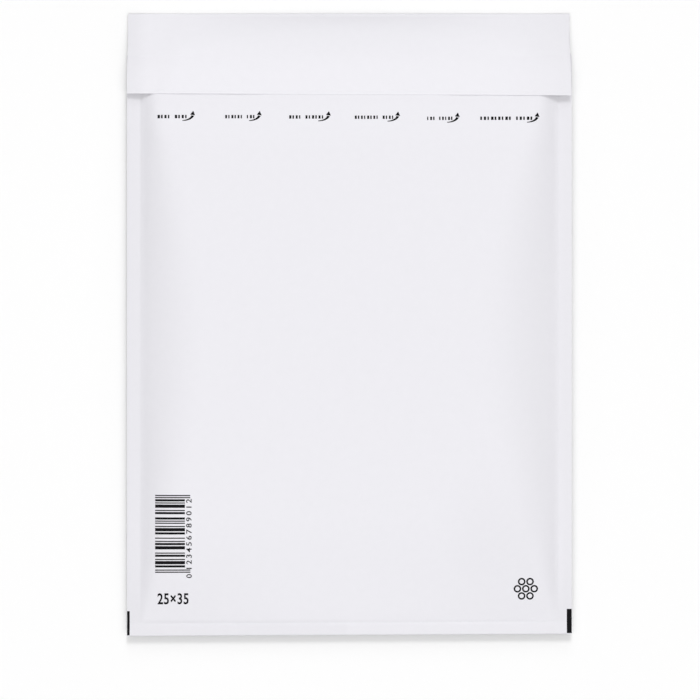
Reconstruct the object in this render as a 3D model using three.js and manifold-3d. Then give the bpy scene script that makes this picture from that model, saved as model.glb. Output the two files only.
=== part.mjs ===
import * as THREE from 'three';
import { mergeVertices } from 'three/addons/utils/BufferGeometryUtils.js';
import Module from 'manifold-3d';

// A padded envelope that lies closed on its back. X runs across it, Y runs from its
// bottom fold to the crease of its flap, and Z is up from the surface it lies on.
// The origin is on that surface, in the middle of the envelope. Lengths are millimetres.

// Closed envelope, over the paper.
const envelopeWidth = 250;
const envelopeLength = 350;

// Paper sleeve: one sheet that is flap, back panel and front panel in turn.
const paperThickness = 0.15;
const sideSeamWidth = 8;
const bottomHemLength = 7;
const flapLength = 45.5;
const mouthSetback = 24;
const flapInsetLeft = 0.5;
const flapInsetRight = 1.2;
const shoulderLength = 3.4;

// How the closed sleeve lies: its sealed edges stand clear of the table on the padding, its
// bottom hem is tipped up, and the crease of the flap comes down to the table.
const seamLift = 3.3;
const hemRise = 1.2;
const creaseLift = 0.3;
const loweringLength = 64;
const creaseRadiusAtSides = 0.35;
const creaseRadiusInMiddle = 1;
const rampRoundnessAtSides = 0.8;
const rampRoundnessInMiddle = 3.2;
const flapDroopLeft = 2.9;
const flapDroopRight = 1.9;
const flapDroopAtMouth = 5.3;
const flapDroopWidth = 28;
const flapDroopRoundness = 1.1;

// Bubble lining: one film web, folded at the bottom and welded into both side seams.
const bubbleWallThickness = 3.8;
const weldThickness = 0.3;
const bottomWeldLength = 2;
const pocketGapInMiddle = 3;
const pocketGapAtMouth = 0.6;
const pocketGapAtWeld = 0.1;

// Slopes from the flat seams up to the full thickness. Beside the mouth, where the crease
// pulls the corners flat, the side slopes are pinched wider again.
const leftSlopeInMiddle = 36;
const rightSlopeInMiddle = 46;
const sideSlopeAtEnds = 9;
const sideSlopeEasing = 1.2;
const mouthPinch = 20;
const mouthPinchLength = 31;
const bottomSlopeLength = 60;
const slopeRoundness = 2.2;
const floorFlattening = 1.5;

// Sealing strip on the inner side of the flap, under its release liner.
const adhesiveThickness = 0.12;
const adhesiveWidth = 14;
const adhesiveInset = 4.5;
const linerThickness = 0.08;
const linerWidth = 19;
const linerInset = 2;

// Layers that are glued or lie on each other keep this small gap.
const layerGap = 0.05;

// Fineness of the surfaces. Rows and columns crowd towards the seams.
const sideSlopeSteps = 7;
const flatColumnSteps = 3;
const bottomSlopeSteps = 7;
const bodyRowSteps = 8;
const rampSteps = 5;
const foldSteps = 6;
const crowding = 1.5;

const halfWidth = envelopeWidth / 2;
const halfLength = envelopeLength / 2;
const seamLineX = halfWidth - sideSeamWidth;
const mouthY = halfLength - mouthSetback;
const flapEdgeY = halfLength - flapLength;
const liningEndY = bottomHemLength - halfLength;
const flapClearance = adhesiveThickness + linerThickness + 3 * layerGap;
const widestSideSlope = Math.max(leftSlopeInMiddle, rightSlopeInMiddle);

const { clamp, lerp, smoothstep } = THREE.MathUtils;

// Climbs from 0 at a crisp line to 1 at the given length, and levels off on the way.
function climb(distance, length) {
  const share = clamp(distance / length, 0, 1);
  return 1 - (1 - share) ** slopeRoundness;
}

// 0 at both ends of the pocket and 1 half way along it.
function middleness(y) {
  const share = clamp((y - liningEndY) / (mouthY - liningEndY), 0, 1);
  return Math.max(0, Math.sin(Math.PI * share));
}

// 0 on the side seams and 1 past the slope beside them.
function sideClimb(x, y) {
  const slopeInMiddle = x < 0 ? leftSlopeInMiddle : rightSlopeInMiddle;
  const slope = lerp(sideSlopeAtEnds, slopeInMiddle, middleness(y) ** sideSlopeEasing);
  const pinch = mouthPinch * smoothstep(y, mouthY - mouthPinchLength, mouthY);
  return climb(seamLineX - Math.abs(x), slope + pinch);
}

// 0 on the flat seams and 1 where the padding has its full thickness.
function fullness(x, y) {
  return sideClimb(x, y) * climb(y - liningEndY, bottomSlopeLength);
}

// Underside of the back panel: on the table in the middle, and lifted at the edges, with
// the hem below the lining tipped up.
function backUnderside(x, y) {
  const lowering = smoothstep(y, halfLength - loweringLength, halfLength);
  const edgeLift = lerp(seamLift, creaseLift, lowering);
  const tippedUp = hemRise * clamp((liningEndY - y) / bottomHemLength, 0, 1);
  return edgeLift * (1 - fullness(x, y)) ** floorFlattening + tippedUp;
}

function pocketGap(x, y) {
  const openGap = lerp(pocketGapAtMouth, pocketGapInMiddle, middleness(y));
  return lerp(pocketGapAtWeld, openGap, fullness(x, y));
}

function liningUnderside(x, y) {
  return backUnderside(x, y) + paperThickness + layerGap;
}

function liningTop(x, y) {
  const weldedWalls = weldThickness - pocketGapAtWeld;
  const walls = lerp(weldedWalls, 2 * bubbleWallThickness, fullness(x, y));
  return liningUnderside(x, y) + walls + pocketGap(x, y);
}

function frontUnderside(x, y) {
  return liningTop(x, y) + layerGap;
}

function frontTop(x, y) {
  return frontUnderside(x, y) + paperThickness;
}

// The flap's crease is pressed sharp at the sides and stays rounder in the middle.
function crease(x) {
  const roundness = Math.cos((0.5 * Math.PI * x) / halfWidth) ** 2;
  const radius = lerp(creaseRadiusAtSides, creaseRadiusInMiddle, roundness);
  const y = halfLength - paperThickness - radius;
  return { roundness, radius, y, z: backUnderside(x, y) + paperThickness + radius };
}

// How far the flap comes down at its sides: a little at its corners, and more by the mouth.
function flapDroop(x, y) {
  const atCorner = x < 0 ? flapDroopLeft : flapDroopRight;
  const droop = lerp(atCorner, flapDroopAtMouth, smoothstep(y, flapEdgeY, mouthY));
  const beyond = clamp((Math.abs(x) - halfWidth + flapDroopWidth) / flapDroopWidth, 0, 1);
  return droop * beyond ** flapDroopRoundness;
}

// Underside of the flap. Over the front panel the stiff sheet bridges the dip at each side
// seam, so its corners stand clear of the seams. From the mouth it runs down to the crease,
// where it is steepest in the middle and flattest at the sides.
function flapUnderside(x, y) {
  const panelY = Math.min(y, mouthY);
  const bridging = frontTop(0, panelY) - flapDroop(x, y);
  const overPanel = Math.max(frontTop(x, panelY), bridging) + flapClearance;
  const end = crease(x);
  const share = clamp((y - mouthY) / (end.y - mouthY), 0, 1);
  const rampRoundness = lerp(rampRoundnessAtSides, rampRoundnessInMiddle, end.roundness);
  return lerp(overPanel, end.z + end.radius, share ** rampRoundness);
}

// Beyond the mouth the sheet is a little narrower than the sealed body, with a shoulder.
function sheetX(x, y) {
  const inset = x < 0 ? flapInsetLeft : flapInsetRight;
  const limit = halfWidth - inset * smoothstep(y, mouthY, mouthY + shoulderLength);
  return clamp(x, -limit, limit);
}

function flapX(x) {
  return clamp(x, flapInsetLeft - halfWidth, halfWidth - flapInsetRight);
}

// Columns across the envelope, close together on the slopes beside the seams.
function columnPlaces() {
  const half = [halfWidth, halfWidth - sideSeamWidth / 2];
  for (let step = 0; step <= sideSlopeSteps; step += 1) {
    half.push(seamLineX - widestSideSlope * (step / sideSlopeSteps) ** crowding);
  }
  const flatStart = seamLineX - widestSideSlope;
  for (let step = 1; step < flatColumnSteps; step += 1) {
    half.push(flatStart * (1 - step / flatColumnSteps));
  }
  return [...half.map((x) => -x), 0, ...half.reverse()];
}

// Rows along the lining, from its bottom end to the flap's free edge and on to the mouth.
function bodyRowPlaces() {
  const rows = [liningEndY, liningEndY + bottomWeldLength];
  const slopeStart = liningEndY + bottomWeldLength;
  const slopeLength = bottomSlopeLength - bottomWeldLength;
  for (let step = 1; step <= bottomSlopeSteps; step += 1) {
    rows.push(slopeStart + slopeLength * (step / bottomSlopeSteps) ** crowding);
  }
  const slopeEnd = slopeStart + slopeLength;
  for (let step = 1; step < bodyRowSteps; step += 1) {
    rows.push(lerp(slopeEnd, Math.min(flapEdgeY, mouthY), step / bodyRowSteps));
  }
  return [...rows, ...flapRowPlaces().filter((y) => y <= mouthY)];
}

// Rows along the flap, from its free edge to its crease, with the edges of its strips and
// the mouth below it among them.
function flapRowPlaces() {
  const rows = new Set([
    flapEdgeY,
    flapEdgeY + linerInset,
    flapEdgeY + adhesiveInset,
    flapEdgeY + adhesiveInset + adhesiveWidth,
    flapEdgeY + linerInset + linerWidth,
    mouthY,
  ]);
  for (let step = 1; step < rampSteps; step += 1) {
    rows.add(lerp(mouthY, crease(0).y, step / rampSteps));
  }
  return [...rows].filter((y) => y >= flapEdgeY).sort((low, high) => low - high);
}

const columns = columnPlaces();
const bodyRows = bodyRowPlaces();
const flapRows = flapRowPlaces();

// A closed sheet between two grids of points. Each row is a function of x that gives the
// point on the outer face and the point on the inner face. Every face is split along the
// same diagonal, whichever way its rows run, so that sheets lie on each other closely.
function sheetGeometry(rows, acrossPlaces) {
  const positions = [];
  for (const row of rows) {
    for (const x of acrossPlaces) {
      const { outer, inner } = row(x);
      positions.push(...outer, ...inner);
    }
  }
  const across = acrossPlaces.length;
  const outerIndex = (row, column) => 2 * (row * across + column);
  const lengthwise = (index) => positions[3 * index + 1];
  const triangles = [];
  for (let row = 0; row + 1 < rows.length; row += 1) {
    for (let column = 0; column + 1 < across; column += 1) {
      let corners = [
        outerIndex(row, column),
        outerIndex(row, column + 1),
        outerIndex(row + 1, column + 1),
        outerIndex(row + 1, column),
      ];
      if (lengthwise(corners[3]) < lengthwise(corners[0])) {
        corners = [...corners.slice(1), corners[0]];
      }
      const [a, b, c, d] = corners;
      triangles.push(a, b, c, a, c, d);
      triangles.push(a + 1, c + 1, b + 1, a + 1, d + 1, c + 1);
    }
  }
  const rim = [];
  for (let column = 0; column < across; column += 1) rim.push(outerIndex(0, column));
  for (let row = 1; row < rows.length; row += 1) rim.push(outerIndex(row, across - 1));
  for (let column = across - 2; column >= 0; column -= 1) rim.push(outerIndex(rows.length - 1, column));
  for (let row = rows.length - 2; row > 0; row -= 1) rim.push(outerIndex(row, 0));
  rim.forEach((here, place) => {
    const next = rim[(place + 1) % rim.length];
    triangles.push(here, here + 1, next + 1, here, next + 1, next);
  });
  const geometry = new THREE.BufferGeometry();
  geometry.setAttribute('position', new THREE.Float32BufferAttribute(positions, 3));
  geometry.setIndex(triangles);
  return geometry;
}

// A level row: the sheet's faces lie one above the other.
function levelRow(y, outerZ, innerZ, placeX = (x) => x) {
  return (x) => ({
    outer: [placeX(x), y, outerZ(x, y)],
    inner: [placeX(x), y, innerZ(x, y)],
  });
}

// A row on the round of a fold, at an angle from the outward direction of the fold.
function foldRow(foldAt, direction, angle) {
  return (x) => {
    const { radius, y, z } = foldAt(x);
    const place = (reach) => [
      sheetX(x, y),
      y + direction * reach * Math.cos(angle),
      z + reach * Math.sin(angle),
    ];
    return { outer: place(radius + paperThickness), inner: place(radius) };
  };
}

function bottomFold() {
  const radius = weldThickness / 2 + layerGap;
  const y = paperThickness + radius - halfLength;
  return { radius, y, z: backUnderside(0, y) + paperThickness + radius };
}

// The whole sheet in one piece: flap, crease, back panel, bottom fold, front panel.
function paperSleeveGeometry() {
  const rows = [];
  const flapTop = (x, y) => flapUnderside(x, y) + paperThickness;
  const backTop = (x, y) => backUnderside(x, y) + paperThickness;
  for (const y of flapRows) {
    rows.push(levelRow(y, flapTop, flapUnderside, flapX));
  }
  for (let step = 0; step <= foldSteps; step += 1) {
    rows.push(foldRow(crease, 1, Math.PI * (0.5 - step / foldSteps)));
  }
  for (let step = rampSteps - 1; step > 0; step -= 1) {
    const y = lerp(mouthY, crease(0).y, step / rampSteps);
    rows.push(levelRow(y, backUnderside, backTop, (x) => sheetX(x, y)));
  }
  for (const y of [...bodyRows].reverse()) {
    rows.push(levelRow(y, backUnderside, backTop));
  }
  for (let step = 0; step <= foldSteps; step += 1) {
    rows.push(foldRow(bottomFold, -1, Math.PI * (step / foldSteps - 0.5)));
  }
  for (const y of bodyRows) {
    rows.push(levelRow(y, frontTop, frontUnderside));
  }
  return sheetGeometry(rows, columns);
}

const wasm = await Module();
wasm.setup();

function solidOf(geometry) {
  const merged = mergeVertices(geometry);
  const mesh = new wasm.Mesh({
    numProp: 3,
    vertProperties: new Float32Array(merged.getAttribute('position').array),
    triVerts: new Uint32Array(merged.getIndex().array),
  });
  return new wasm.Manifold(mesh);
}

function geometryOf(solid) {
  const mesh = solid.getMesh();
  const geometry = new THREE.BufferGeometry();
  geometry.setAttribute('position', new THREE.BufferAttribute(mesh.vertProperties, 3));
  geometry.setIndex(new THREE.BufferAttribute(mesh.triVerts, 1));
  return geometry;
}

// The padded bag: a welded edge all round, and a flat pocket that is open at the mouth.
function bubbleLiningGeometry() {
  const bag = bodyRows.map((y) => levelRow(y, liningTop, liningUnderside));
  const pocketColumns = columns.filter((x) => Math.abs(x) <= seamLineX);
  const pocketEdge = (side) => (x, y) => {
    const rowY = Math.min(y, mouthY);
    const middle = (liningTop(x, rowY) + liningUnderside(x, rowY)) / 2;
    return middle + (side * pocketGap(x, rowY)) / 2;
  };
  const pocketRows = [...bodyRows.slice(1), mouthY + bottomWeldLength];
  const pocket = pocketRows.map((y) => levelRow(y, pocketEdge(1), pocketEdge(-1)));
  const bagSolid = solidOf(sheetGeometry(bag, columns));
  return geometryOf(bagSolid.subtract(solidOf(sheetGeometry(pocket, pocketColumns))));
}

// A flat strip that hangs a given depth under the flap.
function stripGeometry(inset, width, depth, thickness, reachX) {
  const low = flapEdgeY + inset;
  const high = low + width;
  const top = (x, y) => flapUnderside(x, y) - depth;
  const underside = (x, y) => top(x, y) - thickness;
  const rows = flapRows.filter((y) => y >= low && y <= high);
  const stripColumns = columns.filter((x) => Math.abs(x) <= reachX);
  return sheetGeometry(rows.map((y) => levelRow(y, top, underside)), stripColumns);
}

function namedMesh(name, geometry, color, roughness) {
  geometry.computeVertexNormals();
  const material = new THREE.MeshStandardMaterial({ color, roughness, metalness: 0 });
  const mesh = new THREE.Mesh(geometry, material);
  mesh.name = name;
  return mesh;
}

const adhesiveGeometry = stripGeometry(
  adhesiveInset,
  adhesiveWidth,
  layerGap,
  adhesiveThickness,
  seamLineX,
);
const linerGeometry = stripGeometry(
  linerInset,
  linerWidth,
  2 * layerGap + adhesiveThickness,
  linerThickness,
  halfWidth - sideSeamWidth / 2,
);

const envelope = new THREE.Group();
envelope.add(namedMesh('paper_sleeve', paperSleeveGeometry(), '#efeef3', 0.75));
envelope.add(namedMesh('bubble_lining', bubbleLiningGeometry(), '#e9edf0', 0.3));
envelope.add(namedMesh('adhesive_strip', adhesiveGeometry, '#e8e2cf', 0.35));
envelope.add(namedMesh('release_liner', linerGeometry, '#f4f1e6', 0.4));

export default envelope;
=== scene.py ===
import math

import bpy
import numpy as np
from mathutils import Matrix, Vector


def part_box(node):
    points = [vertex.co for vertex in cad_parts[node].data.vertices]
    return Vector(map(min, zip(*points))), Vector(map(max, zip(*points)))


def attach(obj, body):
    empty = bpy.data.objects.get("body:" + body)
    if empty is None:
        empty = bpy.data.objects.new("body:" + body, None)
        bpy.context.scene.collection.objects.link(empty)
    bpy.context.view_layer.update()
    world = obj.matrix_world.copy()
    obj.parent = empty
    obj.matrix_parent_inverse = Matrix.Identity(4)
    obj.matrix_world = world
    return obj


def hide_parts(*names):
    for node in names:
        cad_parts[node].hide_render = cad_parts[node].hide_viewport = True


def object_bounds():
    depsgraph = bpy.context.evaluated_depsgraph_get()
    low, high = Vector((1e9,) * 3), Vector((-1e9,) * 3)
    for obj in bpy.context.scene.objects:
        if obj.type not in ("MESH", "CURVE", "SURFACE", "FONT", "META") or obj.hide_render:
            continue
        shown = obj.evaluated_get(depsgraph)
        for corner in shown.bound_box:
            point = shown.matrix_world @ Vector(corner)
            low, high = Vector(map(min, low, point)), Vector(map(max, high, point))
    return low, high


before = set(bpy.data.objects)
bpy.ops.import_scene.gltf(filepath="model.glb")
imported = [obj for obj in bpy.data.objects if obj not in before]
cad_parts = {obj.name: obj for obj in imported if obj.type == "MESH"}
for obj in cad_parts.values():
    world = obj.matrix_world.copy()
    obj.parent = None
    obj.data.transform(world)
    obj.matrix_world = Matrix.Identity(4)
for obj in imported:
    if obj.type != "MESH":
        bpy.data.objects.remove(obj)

cad_low, cad_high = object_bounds()
MM = 0.001


# Studio: a white floor under soft lamps. Two beyond the flap's end throw short shadows
# towards the bottom of the picture, and two wide ones, overhead and at the other end, fill
# them in. The camera looks straight down on the envelope through a long lens.
PICTURE_SIDE = 700
PIXELS_PER_METRE = 1783
ENVELOPE_MIDDLE_PX = (349.4, 324.6)
CAMERA_HEIGHT = 3.0
SENSOR_WIDTH = 36
SKY_LEVEL = 0.20
# Each lamp's name, level, lean, turn and width of its disc, with the angles in degrees.
LAMPS = (
    ("key_lamp", 0.20, -42, 3, 16),
    ("low_lamp", 0.06, -62, 3, 28),
    ("fill_lamp", 0.30, 33, 4, 90),
    ("top_lamp", 0.24, 0, 2, 100),
)
FLOOR_SIDE = 6.0
FLOOR_DROP = 0.05 * MM
# Sockets of the map range and colour mix nodes, where several share a name.
RANGE_LOW, RANGE_HIGH = 3, 4
MIX_SHARE, MIX_FIRST, MIX_SECOND, MIX_RESULT = 0, 6, 7, 2


def linear(colour):
    """An sRGB hex colour as the linear values that Blender takes."""
    parts = [int(colour[i:i + 2], 16) / 255 for i in (1, 3, 5)]
    return [c / 12.92 if c <= 0.04045 else ((c + 0.055) / 1.055) ** 2.4 for c in parts] + [1]


def add_node(material, kind, values=None, links=None, **settings):
    """A new node with its settings, its socket values and what is linked into it. A socket
    goes by its name, or by its number where several share a name."""
    node = material.node_tree.nodes.new(kind)
    for name, value in settings.items():
        setattr(node, name, value)
    for socket, value in (values or {}).items():
        node.inputs[socket].default_value = value
    for socket, source in (links or {}).items():
        material.node_tree.links.new(source, node.inputs[socket])
    return node


def new_material(name):
    material = bpy.data.materials.new(name)
    material.use_nodes = True
    material.node_tree.nodes.clear()
    return material


def background_ray(material):
    """1 where the camera, a reflection or a view through something clear meets this."""
    ray = add_node(material, "ShaderNodeLightPath")
    direct = add_node(material, "ShaderNodeMath", links={
        0: ray.outputs["Is Camera Ray"], 1: ray.outputs["Is Glossy Ray"]}, operation="MAXIMUM")
    return add_node(material, "ShaderNodeMath", links={
        0: direct.outputs[0], 1: ray.outputs["Is Transmission Ray"]}, operation="MAXIMUM").outputs[0]


def finish_material(material, shader):
    add_node(material, "ShaderNodeOutputMaterial", links={"Surface": shader.outputs[0]})
    return material


def noise_over(material, distance, detail, roughness=0.5):
    """Noise that changes over about this distance on the object."""
    place = add_node(material, "ShaderNodeTexCoord").outputs["Object"]
    return add_node(material, "ShaderNodeTexNoise",
                    {"Scale": 1 / distance, "Detail": detail, "Roughness": roughness},
                    {"Vector": place}).outputs[0]


def tone_between(material, first, second, share):
    """A colour that goes from the first to the second as the share goes from 0 to 1."""
    mix = add_node(material, "ShaderNodeMix", {MIX_FIRST: linear(first), MIX_SECOND: linear(second)},
                   {MIX_SHARE: share}, data_type="RGBA")
    return mix.outputs[MIX_RESULT]


def light_bump(material, height, strength, depth):
    return add_node(material, "ShaderNodeBump", {"Strength": strength, "Distance": depth},
                    {"Height": height}).outputs[0]


def add_lamp(name, level, lean, turn, width):
    """A lamp that gives a level white surface this share of full brightness."""
    bpy.ops.object.light_add(type="SUN", rotation=(math.radians(lean), math.radians(turn), 0))
    lamp = bpy.context.object
    lamp.name = name
    lamp.data.angle = math.radians(width)
    toward = lamp.rotation_euler.to_matrix() @ Vector((0, 0, 1))
    lamp.data.energy = level * math.pi / toward.z


bpy.ops.object.select_all(action="DESELECT")
scene = bpy.context.scene
scene.view_settings.view_transform = "Standard"

sky = bpy.data.worlds.new("even_sky")
sky.use_nodes = True
sky_light = sky.node_tree.nodes["Background"]
sky_light.inputs["Color"].default_value = (1, 1, 1, 1)
sky_strength = add_node(sky, "ShaderNodeMapRange", {RANGE_LOW: SKY_LEVEL, RANGE_HIGH: 1.0},
                        {0: background_ray(sky)})
sky.node_tree.links.new(sky_strength.outputs[0], sky_light.inputs["Strength"])
scene.world = sky
for lamp_settings in LAMPS:
    add_lamp(*lamp_settings)

bpy.ops.mesh.primitive_plane_add(size=FLOOR_SIDE, location=(0, 0, -FLOOR_DROP))
floor = bpy.context.object
floor.name = "floor"
floor_paint = new_material("white_floor")
seen = add_node(floor_paint, "ShaderNodeBsdfDiffuse", {"Color": linear("#fefefe")})
unseen = add_node(floor_paint, "ShaderNodeBsdfDiffuse", {"Color": linear("#c8c8ca")})
floor.data.materials.append(finish_material(floor_paint, add_node(
    floor_paint, "ShaderNodeMixShader",
    links={0: background_ray(floor_paint), 1: unseen.outputs[0], 2: seen.outputs[0]},
)))

view_width = PICTURE_SIDE / PIXELS_PER_METRE
aim_x = (PICTURE_SIDE / 2 - ENVELOPE_MIDDLE_PX[0]) / PIXELS_PER_METRE
aim_y = (ENVELOPE_MIDDLE_PX[1] - PICTURE_SIDE / 2) / PIXELS_PER_METRE
bpy.ops.object.camera_add(location=(aim_x, aim_y, CAMERA_HEIGHT), rotation=(0, 0, 0))
camera = bpy.context.object
camera.data.sensor_width = SENSOR_WIDTH
camera.data.lens = SENSOR_WIDTH * (CAMERA_HEIGHT - cad_high.z) / view_width
scene.camera = camera


# Bubble lining: two walls of polyethylene bubble film, smooth towards the pocket and with
# their bubbles towards the paper. The film is folded at the bottom and heat-welded into
# both side seams, which stand clear of the table on it.
sleeve_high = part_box("paper_sleeve")[1]
lining_low, lining_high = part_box("bubble_lining")
HALF_WIDTH = sleeve_high.x
HALF_LENGTH = sleeve_high.y
MOUTH_Y = lining_high.y
LINING_END_Y = lining_low.y
PAPER = 0.15 * MM
LAYER_GAP = 0.05 * MM
SEAM_WIDTH = 8 * MM
SEAM_X = HALF_WIDTH - SEAM_WIDTH
SEAM_LIFT = 3.3 * MM
HEM_RISE = 1.2 * MM
CREASE_LIFT = 0.3 * MM
LOWERING_LENGTH = 64 * MM
BUBBLE_WALL = 3.8 * MM
WELD = 0.3 * MM
GAP_IN_MIDDLE = 3 * MM
GAP_AT_MOUTH = 0.6 * MM
GAP_AT_WELD = 0.1 * MM
LEFT_SLOPE_IN_MIDDLE = 36 * MM
RIGHT_SLOPE_IN_MIDDLE = 46 * MM
SIDE_SLOPE_AT_ENDS = 3.5 * MM
SIDE_SLOPE_EASING = 1.15
MOUTH_PINCH = 20 * MM
MOUTH_PINCH_START_Y = 120 * MM
BOTTOM_SLOPE = 60 * MM
SLOPE_ROUNDNESS = 2.2
FLOOR_FLATTENING = 1.5
FILM = 0.12 * MM
FLAT_FILM = FILM * 0.7
FILM_INSET_AT_HEM = 1.4 * MM
FILM_INSET_AT_MOUTH = 0.5 * MM
BUBBLE_PITCH = 11 * MM
BUBBLE_RADIUS = 4.9 * MM
BUBBLE_SIDES = 8
BUBBLE_RINGS = 6
DOME_DIGITS = 6
FIRST_BUBBLE_ROW = 0.7
BUBBLE_COLUMNS = 12
BUBBLE_FLATNESS = 0.55
BUBBLE_CLEARANCE = 0.2 * MM
THINNEST_BUBBLE_WALL = 0.9 * MM
FILM_COLUMNS = 58
FILM_ROWS = 76
FILM_COLUMN_EASING = 0.7
FILM_SMOOTH_ANGLE = math.radians(55)


def lerp(low, high, share):
    return low + (high - low) * share


def smooth_step(value, start, end):
    share = np.clip((value - start) / (end - start), 0, 1)
    return share * share * (3 - 2 * share)


def climb(distance, length):
    """From 0 at a crisp line to 1 at the given length, levelling off on the way."""
    return 1 - (1 - np.clip(distance / length, 0, 1)) ** SLOPE_ROUNDNESS


def middleness(y):
    share = np.clip((y - LINING_END_Y) / (MOUTH_Y - LINING_END_Y), 0, 1)
    return np.abs(np.sin(math.pi * share))


def side_climb(x, y):
    """0 on the side seams and 1 past the slope beside them, which widens again at the mouth,
    where the flap's crease pulls the corners flat."""
    slope_in_middle = np.where(x < 0, LEFT_SLOPE_IN_MIDDLE, RIGHT_SLOPE_IN_MIDDLE)
    slope = lerp(SIDE_SLOPE_AT_ENDS, slope_in_middle, middleness(y) ** SIDE_SLOPE_EASING)
    slope += MOUTH_PINCH * smooth_step(y, MOUTH_PINCH_START_Y, MOUTH_Y)
    return climb(SEAM_X - np.abs(x), slope)


def fullness(x, y):
    """0 on the flat seams and 1 where the padding has its full thickness."""
    return side_climb(x, y) * climb(y - LINING_END_Y, BOTTOM_SLOPE)


def back_underside(x, y):
    """On the table in the middle and lifted at the edges, with the bottom hem tipped up."""
    lowering = smooth_step(y, HALF_LENGTH - LOWERING_LENGTH, HALF_LENGTH)
    edge_lift = lerp(SEAM_LIFT, CREASE_LIFT, lowering)
    hem_rise = HEM_RISE * np.clip((LINING_END_Y - y) / (HALF_LENGTH + LINING_END_Y), 0, 1)
    return edge_lift * (1 - fullness(x, y)) ** FLOOR_FLATTENING + hem_rise


def pocket_gap(x, y):
    open_gap = lerp(GAP_AT_MOUTH, GAP_IN_MIDDLE, middleness(y))
    return lerp(GAP_AT_WELD, open_gap, fullness(x, y))


def lining_underside(x, y):
    return back_underside(x, y) + PAPER + LAYER_GAP


def lining_top(x, y):
    walls = lerp(WELD - GAP_AT_WELD, 2 * BUBBLE_WALL, fullness(x, y))
    return lining_underside(x, y) + walls + pocket_gap(x, y)


def pocket_face(x, y, side):
    """The smooth inner face of the upper wall, side 1, or of the lower wall, side -1."""
    middle = (lining_top(x, y) + lining_underside(x, y)) / 2
    return middle + side * pocket_gap(x, y) / 2


def wall_room(x, y, side):
    """How thick one wall of the lining is here."""
    if side > 0:
        return lining_top(x, y) - pocket_face(x, y, side)
    return pocket_face(x, y, side) - lining_underside(x, y)


def deselect_all():
    bpy.ops.object.select_all(action="DESELECT")


def select_only(pieces):
    deselect_all()
    for piece in pieces:
        piece.select_set(True)
    bpy.context.view_layer.objects.active = pieces[0]


def join_pieces(pieces, name):
    select_only(pieces)
    bpy.ops.object.join()
    pieces[0].name = name
    return pieces[0]


def place_points(piece, points):
    piece.data.vertices.foreach_set("co", np.asarray(points, dtype=float).ravel())
    piece.data.update()


def point_array(piece):
    return np.array([vertex.co for vertex in piece.data.vertices])


def give_thickness(piece, thickness, side):
    """Solidify from the drawn face: side -1 thickens against its normals and 1 along them."""
    select_only([piece])
    solidify = piece.modifiers.new("thickness", "SOLIDIFY")
    solidify.thickness = thickness
    solidify.offset = side
    bpy.ops.object.modifier_apply(modifier=solidify.name)


def film_wall(side):
    """The flat film of one wall, drawn on its face to the pocket, with its columns closer
    together towards the sides."""
    bpy.ops.mesh.primitive_grid_add(x_subdivisions=FILM_COLUMNS, y_subdivisions=FILM_ROWS, size=2)
    wall = bpy.context.object
    flat = point_array(wall)
    out = np.abs(flat[:, 0]) ** FILM_COLUMN_EASING
    x = np.sign(flat[:, 0]) * out * (HALF_WIDTH - LAYER_GAP)
    film_low = LINING_END_Y + FILM_INSET_AT_HEM
    y = lerp(film_low, MOUTH_Y - FILM_INSET_AT_MOUTH, 0.5 + flat[:, 1] / 2)
    place_points(wall, np.column_stack([x, y, pocket_face(x, y, side)]))
    give_thickness(wall, FLAT_FILM, side)
    return wall


def bubble_places():
    """Middles of the bubbles, in staggered rows, where the wall isn't pressed flat."""
    row_pitch = BUBBLE_PITCH * math.sqrt(3) / 2
    places = []
    for row in range(int((MOUTH_Y - LINING_END_Y) / row_pitch)):
        y = LINING_END_Y + (row + FIRST_BUBBLE_ROW) * row_pitch
        for column in range(-BUBBLE_COLUMNS, BUBBLE_COLUMNS + 1):
            x = (column + 0.5 * (row % 2)) * BUBBLE_PITCH
            inside = abs(x) < SEAM_X - BUBBLE_RADIUS and y < MOUTH_Y - BUBBLE_RADIUS
            if inside and wall_room(x, y, 1) > THINNEST_BUBBLE_WALL:
                places.append((x, y))
    return places


def in_fixed_order(points, faces):
    """The same mesh, numbered by place, as Blender numbers a cut sphere anew in each run."""
    points = np.round(points, DOME_DIGITS)
    order = np.lexsort(points.T)
    number = np.argsort(order)
    turned = []
    for face in faces:
        corners = number[face].tolist()
        first = corners.index(min(corners))
        turned.append(corners[first:] + corners[:first])
    return points[order], sorted(turned)


def bubble_dome():
    """One closed dome, with its radius and its height 1."""
    bpy.ops.mesh.primitive_uv_sphere_add(segments=BUBBLE_SIDES, ring_count=BUBBLE_RINGS, radius=1)
    bpy.ops.object.mode_set(mode="EDIT")
    bpy.ops.mesh.select_all(action="SELECT")
    bpy.ops.mesh.bisect(plane_co=(0, 0, 0), plane_no=(0, 0, 1), clear_inner=True, use_fill=True)
    bpy.ops.object.mode_set(mode="OBJECT")
    dome = bpy.context.object
    faces = [list(face.vertices) for face in dome.data.polygons]
    points, faces = in_fixed_order(point_array(dome), faces)
    bpy.ops.object.delete()
    reach = np.hypot(points[:, 0], points[:, 1])
    puffed = reach ** BUBBLE_FLATNESS / np.where(reach > 0, reach, 1)
    points[:, 0] *= puffed
    points[:, 1] *= puffed
    points[:, 2] = np.clip(points[:, 2], 0, 1)
    return points, faces


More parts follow.
